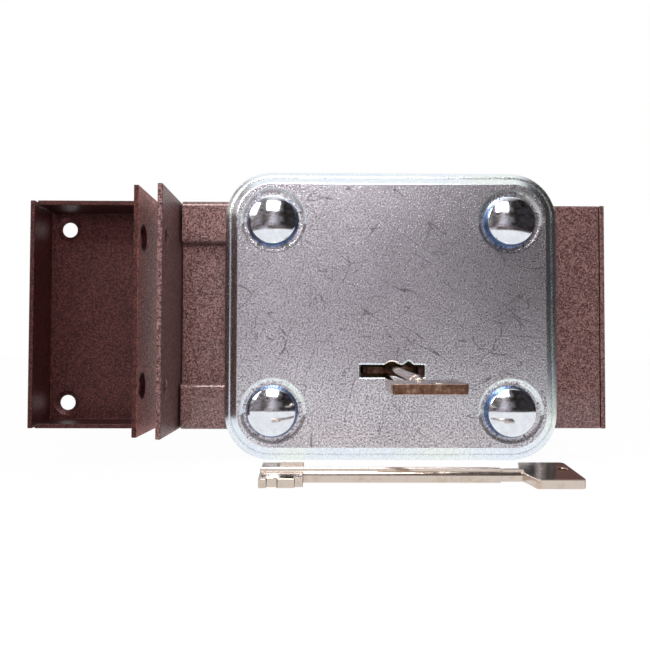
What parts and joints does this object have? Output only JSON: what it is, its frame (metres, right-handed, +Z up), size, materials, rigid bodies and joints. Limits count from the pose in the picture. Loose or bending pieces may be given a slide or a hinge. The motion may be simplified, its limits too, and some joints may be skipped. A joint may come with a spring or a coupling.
{
  "type": "garage door lock",
  "caption": "Rim lock for a garage door with a flat sliding deadbolt, keeper box, outer armour plate on domed bolts, a double bit key and a spare key.",
  "frame": {"origin": "centre of the four door bolts, on the plane where the case meets the inside of the door leaf", "axes": "+X to the right and +Z up seen from outside the door, +Y into the garage; the deadbolt throws to -X"},
  "size_m": [0.2771, 0.1768, 0.1361],
  "materials": {
    "brown_hammer_paint": "brown hammer finish, semi-gloss",
    "zinc_plate": "bright zinc plating, satin",
    "bright_zinc": "bright zinc plating, polished",
    "bright_steel": "ground steel",
    "lever_steel": "stamped steel",
    "spring_steel": "spring steel strip",
    "brass": "turned brass",
    "nickel": "nickel plating"
  },
  "bodies": {
    "case": {"base_frame": "brown_hammer_paint", "front_cover": "brown_hammer_paint", "upper_rail": "brown_hammer_paint", "lower_rail": "brown_hammer_paint", "keeper_box": "brown_hammer_paint", "armour_plate": "zinc_plate", "carriage_bolts": "bright_zinc", "washers": "bright_zinc", "nuts": "bright_zinc", "spring_block": "bright_steel", "lever_post": "bright_steel", "upper_guide_post": "bright_steel", "lower_guide_post": "bright_steel", "spare_key": "nickel", "lever_spring_1": "spring_steel", "lever_spring_2": "spring_steel", "lever_spring_3": "spring_steel", "lever_spring_4": "spring_steel", "lever_spring_5": "spring_steel", "lever_spring_6": "spring_steel"},
    "deadbolt": {"deadbolt": "bright_steel", "bolt_tail": "bright_steel", "bolt_stump": "bright_steel", "tail_rivets": "bright_steel"},
    "drum": {"key_drum": "brass"},
    "key": {"key": "nickel"},
    "lever_1": {"lever_1": "lever_steel"},
    "lever_2": {"lever_2": "lever_steel"},
    "lever_3": {"lever_3": "lever_steel"},
    "lever_4": {"lever_4": "lever_steel"},
    "lever_5": {"lever_5": "lever_steel"},
    "lever_6": {"lever_6": "lever_steel"}
  },
  "joints": [
    {"name": "bolt_throw", "type": "slide", "parent": "case", "child": "deadbolt", "axis": [-1, 0, 0], "range_m": [0, 0.032]},
    {"name": "key_turn", "type": "hinge", "parent": "case", "child": "drum", "pos_m": [0.0004, 0.026, -0.0256], "axis": [0, 1, 0], "range_deg": [0, 720]},
    {"name": "key_pull", "type": "slide", "parent": "drum", "child": "key", "axis": [0.034, -0.9991, -0.027], "range_m": [0, 0.135]},
    {"name": "lever_1_lift", "type": "hinge", "parent": "case", "child": "lever_1", "pos_m": [0.04, 0.01095, -0.004], "axis": [0, 1, 0], "range_deg": [0, 3.5], "stiffness_Nm_per_rad": 0.1, "springref_deg": -11.46, "deforming": ["lever_spring_1"]},
    {"name": "lever_2_lift", "type": "hinge", "parent": "case", "child": "lever_2", "pos_m": [0.04, 0.01255, -0.004], "axis": [0, 1, 0], "range_deg": [0, 3.5], "stiffness_Nm_per_rad": 0.1, "springref_deg": -11.46, "deforming": ["lever_spring_2"]},
    {"name": "lever_3_lift", "type": "hinge", "parent": "case", "child": "lever_3", "pos_m": [0.04, 0.01415, -0.004], "axis": [0, 1, 0], "range_deg": [0, 3.5], "stiffness_Nm_per_rad": 0.1, "springref_deg": -11.46, "deforming": ["lever_spring_3"]},
    {"name": "lever_4_lift", "type": "hinge", "parent": "case", "child": "lever_4", "pos_m": [0.04, 0.01575, -0.004], "axis": [0, 1, 0], "range_deg": [0, 3.5], "stiffness_Nm_per_rad": 0.1, "springref_deg": -11.46, "deforming": ["lever_spring_4"]},
    {"name": "lever_5_lift", "type": "hinge", "parent": "case", "child": "lever_5", "pos_m": [0.04, 0.01735, -0.004], "axis": [0, 1, 0], "range_deg": [0, 3.5], "stiffness_Nm_per_rad": 0.1, "springref_deg": -11.46, "deforming": ["lever_spring_5"]},
    {"name": "lever_6_lift", "type": "hinge", "parent": "case", "child": "lever_6", "pos_m": [0.04, 0.01895, -0.004], "axis": [0, 1, 0], "range_deg": [0, 3.5], "stiffness_Nm_per_rad": 0.1, "springref_deg": -11.46, "deforming": ["lever_spring_6"]}
  ],
  "couplings": [
    {"joint": "key_turn", "follows": "bolt_throw", "rad_per_m": 392.69}
  ]
}
